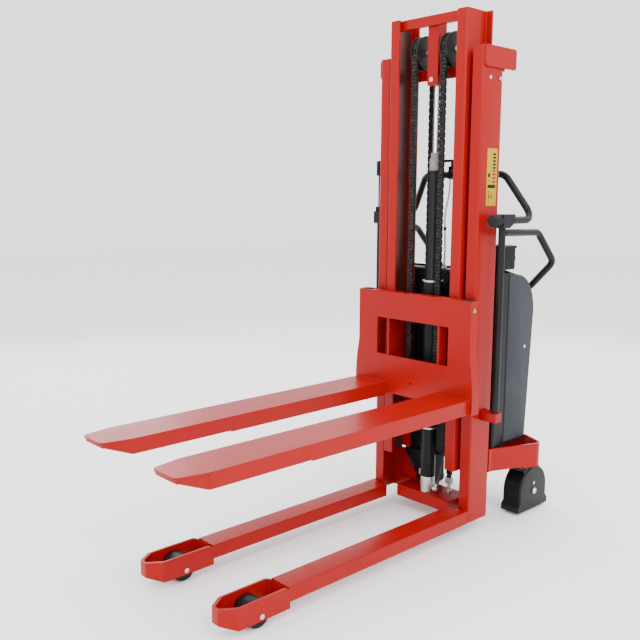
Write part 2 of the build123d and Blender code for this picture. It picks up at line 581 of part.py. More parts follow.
for side, s in SIDES:
    cx = s * CASTOR_X
    castor_y = CASTOR_SWIVEL_Y + castor_trail[s]
    with BuildPart() as castor_body:
        for wall, mode in ((0, Mode.ADD), (GUARD_WALL, Mode.SUBTRACT)):
            low, spring, crown = GUARD_Z[0] - wall, GUARD_Z[1], GUARD_Z[2] - wall
            reach = GUARD_R - GUARD_LIP - wall
            with BuildSketch(facing_side(cx - GUARD_W / 2 + wall)):
                with BuildLine():
                    ThreePointArc((castor_y - reach, spring), (castor_y, crown), (castor_y + reach, spring))
                    Polyline((castor_y + reach, spring), (castor_y + reach, 40), (castor_y + reach + GUARD_LIP, 30),
                             (castor_y + reach + GUARD_LIP, low), (castor_y - reach - GUARD_LIP, low),
                             (castor_y - reach - GUARD_LIP, 30), (castor_y - reach, 40), (castor_y - reach, spring))
                make_face()
            extrude(amount=GUARD_W - 2 * wall, mode=mode)
            if mode == Mode.ADD:
                fillet(castor_body.edges().filter_by(GeomType.CIRCLE), 8)
        rod_z(cx, CASTOR_SWIVEL_Y, (crown_z[0] - 6, 200), 36, Mode.SUBTRACT)
        rod_z(cx, CASTOR_SWIVEL_Y, crown_z, 36)
        rod_z(cx, CASTOR_SWIVEL_Y, (crown_z[0] - 12, crown_z[1] + 1), 8 + BORE_FIT, Mode.SUBTRACT)
        for leg_s in (-1, 1):
            leg_x = (cx + leg_s * 28, cx + leg_s * (GUARD_W / 2 - GUARD_WALL))
            with BuildSketch(facing_side(min(leg_x))):
                with BuildLine():
                    Polyline((CASTOR_SWIVEL_Y - s * 20, crown_z[0]), (CASTOR_SWIVEL_Y + s * 24, crown_z[0]),
                             (castor_y + s * 20, CASTOR_R), (castor_y + s * 14, CASTOR_R - 18),
                             (castor_y - s * 14, CASTOR_R - 18), (castor_y - s * 24, CASTOR_R), close=True)
                make_face()
            extrude(amount=abs(leg_x[1] - leg_x[0]))
        rod_x((cx - 60, cx + 60), castor_y, CASTOR_R, 8 + BORE_FIT, Mode.SUBTRACT)
    save(castor_body.part, f"castor_body_{side}")

    with BuildPart() as castor_wheel:
        rod_x((cx - CASTOR_W / 2, cx + CASTOR_W / 2), castor_y, CASTOR_R, CASTOR_R)
        fillet(castor_wheel.edges().filter_by(GeomType.CIRCLE), 6)
        for hub_s in (-1, 1):
            hub_x = (cx + hub_s * (CASTOR_W / 2 - 8), cx + hub_s * (CASTOR_W / 2 + 1))
            rod_x(hub_x, castor_y, CASTOR_R, 58, Mode.SUBTRACT)
            rod_x((hub_x[0], cx + hub_s * (CASTOR_W / 2 + 2.5)), castor_y, CASTOR_R, 18)
        rod_x((cx - 40, cx + 40), castor_y, CASTOR_R, 8 + BORE_FIT, Mode.SUBTRACT)
    save(castor_wheel.part, f"castor_wheel_{side}")

    with BuildPart() as castor_bolts:
        rod_x((cx - GUARD_W / 2 - 1, cx + GUARD_W / 2 + 1), castor_y, CASTOR_R, 8)
        for bolt_s in (-1, 1):
            head_x = cx + bolt_s * (GUARD_W / 2 + GAP)
            rod_x((head_x, head_x + bolt_s * 6), castor_y, CASTOR_R, 12)
            rod_x((head_x, head_x + bolt_s * 4), castor_y - 4, CASTOR_R + 33, 6)
    save(castor_bolts.part, f"castor_bolts_{side}")

# ---------------------------------------------------------------- power unit
case_x = (-CASE_W / 2, CASE_W / 2)
with BuildPart() as front_casing:
    case_step = REAR_RAIL_Z[1] + GAP
    shelf_z = (COVER_Z[0] - 5, COVER_Z[0] - 0.3)
    block(case_x, CASE_Y, (case_step, CASE_Z[1]))
    fillet(front_casing.edges().filter_by(Axis.Z).group_by(Axis.Y)[0], 10)
    block((case_x[0] + 10, case_x[1] - 10), CASE_Y, (CASE_Z[0], case_step))
    block((case_x[0] + 10 + SHELL, case_x[1] - 10 - SHELL), (CASE_Y[0] + SHELL, CASE_Y[1] - SHELL),
          (CASE_Z[0] + SHELL, shelf_z[0]), Mode.SUBTRACT)
    block((case_x[0] + SHELL, case_x[1] - SHELL), (CASE_Y[0] + SHELL + 6, CASE_Y[1] + 1),
          (shelf_z[1], CASE_Z[1] - SHELL), Mode.SUBTRACT)
    block((-150, 150), (CASE_Y[0] - 12, CASE_Y[0] + 1), (CASE_Z[0] + 20, CASE_Z[1] - 4))
    block((case_x[0] + SHELL, case_x[1] - SHELL), (CASE_Y[0] + 2, 345), shelf_z)
save(front_casing.part, "front_casing")

pump_y = (122.5, 176.0)
pump_top = CASE_Z[0] - 0.05
with BuildPart() as pump_unit:
    with BuildSketch(facing_front(pump_y[1])):
        with BuildLine():
            Polyline((-182, pump_top), (-178, 190), (-118, 126), (-114, 102), (-104, 92), (-30, 92), (-20, 102),
                     (-20, pump_top), close=True)
        make_face()
    extrude(amount=pump_y[1] - pump_y[0])
save(pump_unit.part, "pump_unit")

cover_x = (-COVER_W / 2, COVER_W / 2)
cover_curve = ((352.0, COVER_Z[0]), (380.0, 795.0), (346.0, 884.0), (272.0, 940.0), (COVER_Y, COVER_Z[1]))
with BuildPart() as rear_cover:
    for wall, mode in ((0, Mode.ADD), (SHELL, Mode.SUBTRACT)):
        low, waist, shoulder, crown, top = cover_curve
        with BuildSketch(facing_side(cover_x[0] + wall)):
            with BuildLine():
                Polyline((crown[0] - wall / 2, crown[1] - wall), (COVER_Y, top[1] - wall), (COVER_Y, low[1]),
                         (low[0] - wall, low[1]), (waist[0] - wall, waist[1]))
                ThreePointArc((waist[0] - wall, waist[1]), (shoulder[0] - wall, shoulder[1] - wall),
                              (crown[0] - wall / 2, crown[1] - wall))
            make_face()
        extrude(amount=COVER_W - 2 * wall, mode=mode)
save(rear_cover.part, "rear_cover")

with BuildPart() as batteries:
    for side, s in SIDES:
        block((s * 16, s * 206), (150, 320), (COVER_Z[0] + 0.1, COVER_Z[0] + 205))
        for post in (50, 170):
            rod_z(s * post, 180, (COVER_Z[0] + 205, COVER_Z[0] + 220), 8)
save(batteries.part, "batteries")

pod_x = (92.0, 222.0)
pod_y = (186.0, 258.0)
pod_z = (COVER_Z[1] + 3, 1040.0)
with BuildPart() as control_pod:
    block(pod_x, pod_y, pod_z)
    fillet(control_pod.edges().filter_by(Axis.Z), 8)
    block((pod_x[0] + 6, pod_x[1] - 6), (pod_y[0] + 8, 205), (CASE_Z[1] + 0.05, pod_z[0]))
    block((pod_x[0] - 2, pod_x[1] + 2), (pod_y[0] - 2, pod_y[1] + 2), (pod_z[1], pod_z[1] + 10))
    chamfer(control_pod.edges().group_by(Axis.Z)[-1], 3)
    rod_y(190, (pod_y[1] - 20, pod_y[1] + 10), 1002, 9 + GAP, Mode.SUBTRACT)
    rod_y(122, (pod_y[1] - 20, pod_y[1] + 10), 1002, 8 + BORE_FIT, Mode.SUBTRACT)
save(control_pod.part, "control_pod")

with BuildPart() as stop_button:
    rod_y(190, (pod_y[1] - 12, pod_y[1] + 8), 1002, 9)
    rod_y(190, (pod_y[1] + 7, pod_y[1] + 22), 1002, 19)
    fillet(stop_button.edges().filter_by(GeomType.CIRCLE).group_by(Axis.Y)[-1], 5)
save(stop_button.part, "stop_button")

with BuildPart() as key_switch:
    rod_y(122, (pod_y[1] - 16, pod_y[1] + 5), 1002, 8)
    block((120.5, 123.5), (pod_y[1] + 4, pod_y[1] + 24), (993, 1011))
save(key_switch.part, "key_switch")

# ---------------------------------------------------------------- handles
bracket_z = (426.0, 460.0)
with BuildPart() as pole_brackets:
    for side, s in SIDES:
        block((s * (half_mast + 0.05), s * (POLE_X + 15.5)), (POLE_Y - 18, POLE_Y + 20), bracket_z)
    fillet(pole_brackets.edges().filter_by(Axis.Z), 5)
    for side, s in SIDES:
        rod_z(s * POLE_X, POLE_Y, (bracket_z[0] + 6, bracket_z[1] + 1), POLE_R + 0.05, Mode.SUBTRACT)
save(pole_brackets.part, "pole_brackets")

clamp_y = (48.0, 116.0)
clamp_z = (1120.0, 1168.0)
stick_y = 57.0
stick_pivot = clamp_z[1] + 9
with BuildPart() as handle_poles:
    for side, s in SIDES:
        rod_z(s * POLE_X, POLE_Y, (bracket_z[0] + 6.1, clamp_z[0] + 9.9), POLE_R)
        rod_z(s * POLE_X, POLE_Y, (bracket_z[1] + 20, clamp_z[0] + 20), POLE_R - TUBE_WALL, Mode.SUBTRACT)
save(handle_poles.part, "handle_poles")

with BuildPart() as handle_clamps:
    for side, s in SIDES:
        with BuildSketch(facing_side(s * POLE_X - 19)):
            with BuildLine():
                Polyline((clamp_y[0], clamp_z[1]), (clamp_y[1], clamp_z[1]), (clamp_y[1], 1140),
                         (clamp_y[1] - 30, clamp_z[0]), (clamp_y[0], clamp_z[0]), close=True)
            make_face()
        extrude(amount=38)
    fillet(handle_clamps.edges().filter_by(Axis.X), 4)
    for side, s in SIDES:
        bore_y = clamp_y[0] + 5.9 if s < 0 else clamp_y[0] - 1
        rod_y(s * POLE_X, (bore_y, clamp_y[1] + 1), HANDLE_Z, TUBE_R + 0.05, Mode.SUBTRACT)
        rod_z(s * POLE_X, POLE_Y, (clamp_z[0] - 1, clamp_z[0] + 10), POLE_R + 0.05, Mode.SUBTRACT)
    for ear_x in (-POLE_X - 10, -POLE_X + 5):
        block((ear_x, ear_x + 5), (stick_y - 8, stick_y + 8), (clamp_z[1] - 1, clamp_z[1] + 18))
    rod_x((-POLE_X - 12, -POLE_X + 12), stick_y, stick_pivot, 3 + BORE_FIT, Mode.SUBTRACT)
save(handle_clamps.part, "handle_clamps")


def bent_tube(points, bend):
    """A round tube along straight runs with equal bends; points count Y from the mast."""
    with BuildLine() as route:
        FilletPolyline(*[(x, MAST_Y + y, z) for x, y, z in points], radius=bend)
    with BuildSketch(Plane(origin=route.line @ 0, z_dir=route.line % 0)) as ring:
        Circle(TUBE_R)
        Circle(TUBE_R - TUBE_WALL, mode=Mode.SUBTRACT)
    sweep(sections=ring.sketch, path=route.line)


grip_y = (0.0, 47.7)
bar_x, bar_y, bar_z = CROSSBAR
arm_start = {-1: clamp_y[0] + 6, 1: grip_y[0] + 8}
with BuildPart() as upper_handle:
    ends = [[(s * POLE_X, arm_start[s], HANDLE_Z), (s * POLE_X, 262, HANDLE_Z), (s * bar_x, bar_y, bar_z)]
            for s in (1, -1)]
    bent_tube(ends[0] + ends[1][::-1], 44)
save(upper_handle.part, "upper_handle")

push_x, push_y, push_z = PUSH_BAR
loop_z = 1104.0
with BuildPart() as lower_handle:
    half = [(POLE_X, POLE_Y + POLE_R - 4, loop_z), (POLE_X, 290, loop_z - 4), (POLE_X, 405, 985),
            (push_x, push_y, push_z)]
    bent_tube(half + [(-x, y, z) for x, y, z in reversed(half)], 40)
    for side, s in SIDES:
        rod_z(s * POLE_X, POLE_Y, (loop_z - 40, loop_z + 40), POLE_R + 0.05, Mode.SUBTRACT)
save(lower_handle.part, "lower_handle")

with BuildPart() as handle_grip:
    rod_y(POLE_X, grip_y, HANDLE_Z, GRIP_R)
    fillet(handle_grip.edges().filter_by(GeomType.CIRCLE).group_by(Axis.Y)[0], 8)
    rod_y(POLE_X, (arm_start[1] - 0.1, grip_y[1] + 1), HANDLE_Z, TUBE_R + 0.05, Mode.SUBTRACT)
save(handle_grip.part, "handle_grip")

# ---------------------------------------------------------------- controls
lever_x = -55.0
pivot_z = bar_z + TUBE_R + 12
with BuildPart() as lever_bracket:
    rod_x((lever_x - 12, lever_x + 12), bar_y, bar_z, TUBE_R + 5)
    block((lever_x - 12, lever_x + 12), (bar_y - 10, bar_y + 10), (bar_z, pivot_z + 8))
    rod_x((lever_x - 13, lever_x + 13), bar_y, bar_z, TUBE_R + 0.05, Mode.SUBTRACT)
    block((lever_x - 5, lever_x + 5), (bar_y - 11, bar_y + 11), (bar_z + TUBE_R + 3, pivot_z + 9), Mode.SUBTRACT)
    rod_x((lever_x - 13, lever_x + 13), bar_y, pivot_z, 3 + BORE_FIT, Mode.SUBTRACT)
    block((lever_x + 5, lever_x + 15), (bar_y - 28, bar_y - 17.8), (bar_z - 14, bar_z + 20))
    block((lever_x + 4, lever_x + 12), (bar_y - 20, bar_y - 9), (bar_z + 12, bar_z + 20))
save(lever_bracket.part, "lever_bracket")

with BuildPart() as control_lever:
    block((lever_x - 4.5, lever_x + 4.5), (bar_y - 5, bar_y + 5), (pivot_z - 5, 1368))
    block((lever_x - 100, lever_x + 4.5), (bar_y - 5, bar_y + 5), (1358, 1368))
    fillet(control_lever.edges().filter_by(Axis.Y).group_by(Axis.Z)[-1], 4)
    rod_x((lever_x - 11.5, lever_x + 11.5), bar_y, pivot_z, 3)
save(control_lever.part, "control_lever")

with BuildPart() as lowering_stick:
    rod_x((-POLE_X - 4.7, -POLE_X + 4.7), stick_y, stick_pivot, 6)
    rod_x((-POLE_X - 9.7, -POLE_X + 9.7), stick_y, stick_pivot, 3)
    rod_z(-POLE_X, stick_y, (stick_pivot, 1312), 3)
    rod_z(-POLE_X, stick_y, (1306, 1364), 11)
    fillet(lowering_stick.edges().filter_by(GeomType.CIRCLE).group_by(Axis.Z)[-1], 6)
save(lowering_stick.part, "lowering_stick")


# ---------------------------------------------------------------- hose and cable
def turn_at(before, corner, after):
    """The angle by which a route turns at a corner, in radians, and its two run lengths."""
    a = [corner[i] - before[i] for i in range(3)]
    b = [after[i] - corner[i] for i in range(3)]
    la = sum(v * v for v in a) ** 0.5
    lb = sum(v * v for v in b) ** 0.5
    cosine = sum(a[i] * b[i] for i in range(3)) / (la * lb)
    return atan2((1 - cosine ** 2) ** 0.5, cosine), la, lb


def bend_radii(points):
    """The radius of each bend: as wide as its two runs allow."""
    radii = []
    for before, corner, after in zip(points, points[1:], points[2:]):
        angle, la, lb = turn_at(before, corner, after)
        radii.append(0.45 * min(la, lb) / (sin(angle / 2) / cos(angle / 2)))
    return radii


def cord(points, radius, name):
    """A flexible line along straight runs joined by tangent arcs."""
    points = [(x, MAST_Y + y, z) for x, y, z in points]
    radii = bend_radii(points)
    print(name, "bend radii", [round(r, 1) for r in radii])
    with BuildLine() as route:
        FilletPolyline(*points, radius=radii)
    with BuildSketch(Plane(origin=route.line @ 0, z_dir=route.line % 0)) as section:
        Circle(radius)
    sweep(sections=section.sketch, path=route.line)
    length = sum(edge.length for edge in route.line.edges())
    print(name, "length", round(length, 1))
    return length


HOSE_R = 5.5
hose_route = [(47.5, 50, 132), (56, 50, 154), (63, 53, 184), (59, 66, 218), (45, 84, 246), (33, 104, 262),
              (28, 123.5, 268)]
with BuildPart() as lift_hose:
    hose_length = cord(hose_route, HOSE_R, "lift_hose")
print("lift_hose volume ratio", round(lift_hose.part.volume / (3.14159265 * HOSE_R ** 2 * hose_length), 4))
save(lift_hose.part, "lift_hose")

with BuildPart() as line_fittings:
    rod_z(-44, 171, (CASE_Z[1] + 0.05, 958), 9)
    rod_z(-44, 171, (958, 966), 6)
    rod_x((27.1, 44), CYLINDER_Y, 108, 6)
    rod_x((33, 43), CYLINDER_Y, 108, 11)
    rod_x((43, 49), CYLINDER_Y, 108, 8)
    ferrule_start = (39, MAST_Y + 50, 110)
    ferrule_end = (47.5, MAST_Y + 50, 132)
    ferrule_dir = tuple(ferrule_end[i] - ferrule_start[i] for i in range(3))
    ferrule_len = sum(v * v for v in ferrule_dir) ** 0.5
    with BuildSketch(Plane(origin=ferrule_start, z_dir=ferrule_dir)):
        Circle(7.5)
    extrude(amount=ferrule_len - 0.2)
save(line_fittings.part, "line_fittings")

CABLE_R = 4.0
cable_route = [(-45, 195, 1294.5), (-46, 196, 1262), (-54, 199, 1222), (-61, 194, 1182), (-60, 187, 1146),
               (-54, 181, 1110), (-48, 177, 1062), (-45, 174, 1015), (-44, 172, 990), (-44, 171, 966.3)]
with BuildPart() as control_cable:
    cable_length = cord(cable_route, CABLE_R, "control_cable")
print("cable volume ratio", round(control_cable.part.volume / (3.14159265 * CABLE_R ** 2 * cable_length), 4))
save(control_cable.part, "control_cable")

# ---------------------------------------------------------------- fasteners
with BuildPart() as frame_bolts:
    for side, s in SIDES:
        for y in (38.0, 95.0):
            rod_x((s * (half_mast + 0.05), s * (half_mast + 5)), y, 1629, 6.5)
        rod_x((s * (COVER_W / 2 + 0.05), s * (COVER_W / 2 + 2.5)), 318, 665, 6)
save(frame_bolts.part, "frame_bolts")
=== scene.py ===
import bpy
import bmesh
import json
import math
from mathutils import Matrix, Vector


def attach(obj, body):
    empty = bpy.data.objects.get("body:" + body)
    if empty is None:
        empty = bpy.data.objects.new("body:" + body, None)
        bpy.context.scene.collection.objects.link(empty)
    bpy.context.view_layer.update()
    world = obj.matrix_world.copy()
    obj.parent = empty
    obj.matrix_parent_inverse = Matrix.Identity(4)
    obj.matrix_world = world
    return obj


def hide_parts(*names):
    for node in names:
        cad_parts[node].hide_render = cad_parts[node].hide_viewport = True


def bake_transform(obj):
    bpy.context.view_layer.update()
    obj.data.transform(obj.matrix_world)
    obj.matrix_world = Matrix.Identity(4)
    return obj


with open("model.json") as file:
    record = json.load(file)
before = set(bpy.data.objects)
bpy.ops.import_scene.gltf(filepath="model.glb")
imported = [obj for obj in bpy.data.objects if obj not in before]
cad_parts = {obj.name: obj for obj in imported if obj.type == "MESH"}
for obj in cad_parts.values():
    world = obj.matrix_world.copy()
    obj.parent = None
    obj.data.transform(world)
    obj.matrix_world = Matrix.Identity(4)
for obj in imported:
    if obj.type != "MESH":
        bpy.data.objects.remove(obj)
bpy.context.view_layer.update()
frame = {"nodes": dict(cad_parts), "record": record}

MAST = 0.3855           # where the outer mast's front face stands along Y
RECORD = frame["record"]
BODY_OF = {node: body for body, nodes in RECORD["behaviour"]["bodies"].items() for node in nodes}
SLOT_OF = {part["node"]: part["material_slot"] for part in RECORD["subparts"]}


def at(x, y, z):
    """A point given from the mast's front face, in metres."""
    return Vector((x, MAST + y, z))


# ------------------------------------------------------------------ camera and lights
def stand_camera():
    turn, tilt, roll = math.radians(47.301), math.radians(8.928), math.radians(0.257)
    back = Vector((math.sin(turn) * math.cos(tilt), -math.cos(turn) * math.cos(tilt), math.sin(tilt)))
    across = Vector((math.cos(turn), math.sin(turn), 0))
    upward = back.cross(across)
    right = math.cos(roll) * across + math.sin(roll) * upward
    up = -math.sin(roll) * across + math.cos(roll) * upward
    lens = bpy.data.cameras.new("studio_camera")
    lens.sensor_width = 36
    lens.lens = 45.28
    lens.clip_end = 60
    camera = bpy.data.objects.new("studio_camera", lens)
    place = Matrix((right, up, back)).transposed().to_4x4()
    place.translation = (1.9238, -1.9145, 1.2359)
    camera.matrix_world = place
    bpy.context.scene.collection.objects.link(camera)
    bpy.context.scene.camera = camera


def hang_light(name, place, target, size, power, tint=(1, 1, 1)):
    lamp = bpy.data.lights.new(name, "AREA")
    lamp.shape = "RECTANGLE"
    lamp.size, lamp.size_y = size
    lamp.energy = power
    lamp.color = tint
    light = bpy.data.objects.new(name, lamp)
    light.location = place
    light.rotation_euler = (Vector(target) - Vector(place)).to_track_quat("-Z", "Y").to_euler()
    bpy.context.scene.collection.objects.link(light)


stand_camera()
hang_light("key_softbox", (3.6, -0.6, 3.0), (0, 0, 0.8), (2.6, 2.6), 130)
hang_light("front_softbox", (0.2, -4.4, 2.6), (0, 0, 0.8), (3.4, 2.4), 95)
hang_light("top_softbox", (0, 0.2, 4.6), (0, 0, 0), (4.0, 4.0), 85)
hang_light("left_softbox", (-4.0, 0.6, 2.2), (0, 0, 0.8), (2.4, 2.4), 55)
hang_light("rear_softbox", (-0.6, 4.4, 2.4), (0, 0, 0.8), (3.0, 2.2), 60)


# ------------------------------------------------------------------ cords
def make_cord(name, route, radius):
    line = bpy.data.curves.new(name, "CURVE")
    line.dimensions = "3D"
    line.resolution_u = 12
    line.bevel_depth = radius
    line.bevel_resolution = 5
    line.use_fill_caps = True
    run = line.splines.new("NURBS")
    run.points.add(len(route) - 1)
    for point, place in zip(run.points, route):
        point.co = (place[0], MAST + place[1], place[2], 1)
    run.order_u = 3
    run.use_endpoint_u = True
    cord = bpy.data.objects.new(name, line)
    bpy.context.scene.collection.objects.link(cord)
    return cord


HOSE_ROUTE = ((.0475, .050, .132), (.056, .050, .154), (.063, .053, .184), (.059, .066, .218),
              (.045, .084, .246), (.033, .104, .262), (.028, .1235, .268))
CABLE_ROUTE = ((-.045, .195, 1.2945), (-.046, .196, 1.262), (-.054, .199, 1.222), (-.061, .194, 1.182),
               (-.060, .187, 1.146), (-.054, .181, 1.110), (-.048, .177, 1.062), (-.045, .174, 1.015),
               (-.044, .172, .990), (-.044, .171, .9663))
lift_hose = make_cord("lift_hose_line", HOSE_ROUTE, .0055)
control_cable = make_cord("control_cable_line", CABLE_ROUTE, .004)


# ------------------------------------------------------------------ finishes
class Wire:
    """One socket of a finish, which reads like a number in an expression."""

    def __init__(self, finish, socket):
        self.finish, self.socket = finish, socket

    def __add__(self, other):
        return self.finish.sum_up("ADD", self, other)

    def __radd__(self, other):
        return self.finish.sum_up("ADD", other, self)

    def __sub__(self, other):
        return self.finish.sum_up("SUBTRACT", self, other)

    def __rsub__(self, other):
        return self.finish.sum_up("SUBTRACT", other, self)

    def __mul__(self, other):
        return self.finish.sum_up("MULTIPLY", self, other)

    def __rmul__(self, other):
        return self.finish.sum_up("MULTIPLY", other, self)

    def __gt__(self, other):
        return self.finish.sum_up("GREATER_THAN", self, other)

    def __lt__(self, other):
        return self.finish.sum_up("LESS_THAN", self, other)


class Finish:
    """A material in the making."""

    def __init__(self, name, **shine):
        self.material = bpy.data.materials.new(name)
        self.material.use_nodes = True
        self.tree = self.material.node_tree
        self.shader = self.tree.nodes["Principled BSDF"]
        for socket, value in shine.items():
            self.shader.inputs[socket.replace("_", " ")].default_value = value
        self.place = self.node("ShaderNodeTexCoord", {}, {}, "Object")

    def node(self, kind, settings, inputs, output=0):
        made = self.tree.nodes.new(kind)
        for key, value in settings.items():
            if key == "stops":
                while len(made.color_ramp.elements) < len(value):
                    made.color_ramp.elements.new(0.5)
                for stop, (where, colour) in zip(made.color_ramp.elements, value):
                    stop.position, stop.color = where, colour
            else:
                setattr(made, key, value)
        for key, value in inputs.items():
            if isinstance(value, Wire):
                self.tree.links.new(value.socket, made.inputs[key])
            else:
                made.inputs[key].default_value = value
        return Wire(self, made.outputs[output])

    def sum_up(self, operation, a, b):
        return self.node("ShaderNodeMath", {"operation": operation}, {0: a, 1: b})

    def noise(self, scale, detail=2.0, stretch=None, rough=0.5):
        place = self.place
        if stretch:
            place = self.node("ShaderNodeMapping", {}, {"Vector": place, "Scale": stretch})
        return self.node("ShaderNodeTexNoise", {}, {"Vector": place, "Scale": scale, "Detail": detail,
                                                    "Roughness": rough}, "Fac")

    def steps(self, value, low, high):
        return self.node("ShaderNodeMapRange", {}, {"Value": value, "From Min": low, "From Max": high})

    def mixed(self, share, one, other):
        def colour(c):
            return c if isinstance(c, Wire) else (*c, 1)
        inputs = {0: share, 6: colour(one), 7: colour(other)}
        return self.node("ShaderNodeMix", {"data_type": "RGBA"}, inputs, 2)

    def axes(self):
        made = self.tree.nodes.new("ShaderNodeSeparateXYZ")
        self.tree.links.new(self.place.socket, made.inputs[0])
        return [Wire(self, made.outputs[i]) for i in range(3)]

    def feed(self, **links):
        for socket, wire in links.items():
            self.tree.links.new(wire.socket, self.shader.inputs[socket.replace("_", " ")])
        return self

    def bumped(self, height, strength, distance=0.001):
        bump = self.node("ShaderNodeBump", {}, {"Height": height, "Strength": strength, "Distance": distance},
                         "Normal")
        self.tree.links.new(bump.socket, self.shader.inputs["Normal"])
        return self


def red_enamel():
    f = Finish("red_enamel", Coat_Weight=0.03, Coat_Roughness=0.10, Specular_IOR_Level=0.16)
    height = f.axes()[2]
    cloudy = f.noise(3.0, 3)
    low = f.steps(height, 0.16, 0.02) * f.steps(f.noise(22, 4), 0.45, 0.80)
    paint = f.mixed(cloudy, (0.285, 0.0005, 0.0001), (0.250, 0.0004, 0.0001))
    paint = f.mixed(low * 0.10, paint, (0.10, 0.007, 0.004))
    f.feed(Base_Color=paint, Roughness=0.28 + f.noise(14, 3) * 0.10 + low * 0.25)
    return f.bumped(f.noise(260, 2) * 0.6 + f.noise(38, 2) * 0.8, 0.08, 0.0008).material


# Grease film on the roller tracks, near black with red runs; the darkness is partly painted shade for the
# insides of the mast channels.
def greased_shaded_track():
    f = Finish("greased_shaded_track", Specular_IOR_Level=0.5)
    film = f.noise(9, 3, (10, 10, 1))
    runs = f.steps(f.noise(16, 4, (14, 14, 1)), 0.35, 0.70)
    colour = f.mixed(film, (0.012, 0.009, 0.008), (0.040, 0.022, 0.018))
    colour = f.mixed(runs * 0.45, colour, (0.17, 0.006, 0.003))
    f.feed(Base_Color=colour, Roughness=0.20 + film * 0.25)
    return f.bumped(film, 0.2, 0.0006).material


def black_enamel():
    f = Finish("black_enamel", Coat_Weight=0.03, Coat_Roughness=0.15, Specular_IOR_Level=0.14)
    rubbed = f.steps(f.noise(45, 4), 0.62, 0.80)
    dusty = f.noise(7, 3)
    colour = f.mixed(dusty, (0.0045, 0.0048, 0.0052), (0.0090, 0.0095, 0.0105))
    colour = f.mixed(rubbed * 0.15, colour, (0.03, 0.031, 0.033))
    f.feed(Base_Color=colour, Roughness=0.28 + dusty * 0.14 + rubbed * 0.12)
    return f.bumped(f.noise(420, 2), 0.10, 0.0005).material


def turned_steel():
    f = Finish("turned_steel", Metallic=1.0)
    rings = f.noise(4, 2, (60, 60, 260))
    stain = f.steps(f.noise(26, 4), 0.45, 0.80)
    f.feed(Base_Color=f.mixed(stain * 0.6, (0.66, 0.65, 0.62), (0.42, 0.40, 0.36)),
           Roughness=0.26 + rings * 0.18 + stain * 0.15)
    return f.bumped(rings, 0.15, 0.0003).material


def hard_chrome():
    f = Finish("hard_chrome", Metallic=1.0)
    film = f.noise(5, 3, (8, 8, 1))
    f.feed(Base_Color=f.mixed(film, (0.80, 0.81, 0.83), (0.66, 0.66, 0.66)), Roughness=0.06 + film * 0.12)
    return f.bumped(f.noise(9, 2, (40, 40, 160)), 0.03, 0.0002).material


def oiled_steel():
    f = Finish("oiled_steel", Metallic=0.75)
    oil = f.noise(30, 4)
    f.feed(Base_Color=f.mixed(oil, (0.012, 0.012, 0.012), (0.045, 0.043, 0.041)), Roughness=0.25 + oil * 0.3)
    return f.bumped(f.noise(200, 3), 0.15, 0.0004).material


def greased_links():
    f = Finish("greased_links", Metallic=0.55)
    grease = f.noise(55, 4)
    f.feed(Base_Color=f.mixed(f.steps(grease, 0.45, 0.8), (0.008, 0.008, 0.008), (0.045, 0.043, 0.038)),
           Roughness=0.28 + grease * 0.35)
    return f.bumped(grease, 0.2, 0.0005).material


def zinc_grey():
    f = Finish("zinc_grey", Specular_IOR_Level=0.25)
    dull = f.noise(40, 3)
    f.feed(Base_Color=f.mixed(dull, (0.17, 0.155, 0.14), (0.25, 0.23, 0.21)), Roughness=0.42 + dull * 0.2)
    return f.bumped(f.noise(160, 2), 0.12, 0.0004).material


def rolled_nylon():
    f = Finish("rolled_nylon", Specular_IOR_Level=0.16)
    scuff = f.steps(f.noise(28, 5), 0.48, 0.72)
    f.feed(Base_Color=f.mixed(scuff * 0.5, (0.0049, 0.0052, 0.0060), (0.0262, 0.0262, 0.0273)),
           Roughness=0.38 + scuff * 0.3)
    return f.bumped(f.noise(150, 4) * 0.5 + scuff * 0.4, 0.2, 0.0006).material


def moulded_black():
    f = Finish("moulded_black", Specular_IOR_Level=0.16)
    grain = f.noise(900, 2)
    cloudy = f.noise(12, 3)
    f.feed(Base_Color=f.mixed(cloudy, (0.0042, 0.0045, 0.0052), (0.0084, 0.0087, 0.0098)),
           Roughness=0.42 + cloudy * 0.14 + grain * 0.08)
    return f.bumped(grain, 0.18, 0.0003).material


def grip_rubber():
    f = Finish("grip_rubber", Specular_IOR_Level=0.16)
    along = f.axes()[1]
    ribs = f.node("ShaderNodeMath", {"operation": "SINE"}, {0: along * 1400})
    worn = f.noise(24, 4)
    f.feed(Base_Color=f.mixed(worn, (0.0042, 0.0042, 0.0049), (0.0112, 0.0112, 0.0119)),
           Roughness=0.55 + worn * 0.2)
    return f.bumped(ribs * 0.5 + f.noise(600, 2) * 0.4, 0.35, 0.0006).material


def grained_cover():
    f = Finish("grained_cover", Specular_IOR_Level=0.20)
    grain = f.node("ShaderNodeTexVoronoi", {"feature": "SMOOTH_F1"},
                   {"Vector": f.place, "Scale": 420, "Smoothness": 0.6}, "Distance")
    speckle = f.steps(f.noise(520, 2), 0.42, 0.66)
    cloudy = f.noise(5, 3)
    rub = f.steps(f.noise(9, 5), 0.58, 0.80)
    shade = f.mixed(cloudy, (0.020, 0.0245, 0.029), (0.026, 0.031, 0.037))
    shade = f.mixed(speckle * 0.45, shade, (0.066, 0.074, 0.084))
    shade = f.mixed(rub * 0.15, shade, (0.09, 0.098, 0.11))
    f.feed(Base_Color=shade, Roughness=0.56 + cloudy * 0.12 - rub * 0.1)
    return f.bumped(grain * 0.8 + f.noise(260, 3) * 0.5, 0.35, 0.0007).material


def soft_black_hose():
    f = Finish("soft_black_hose")
    weave = f.noise(380, 2)
    f.feed(Base_Color=f.mixed(weave, (0.009, 0.009, 0.010), (0.026, 0.026, 0.028)),
           Roughness=0.4 + weave * 0.2)
    return f.bumped(weave, 0.3, 0.0004).material


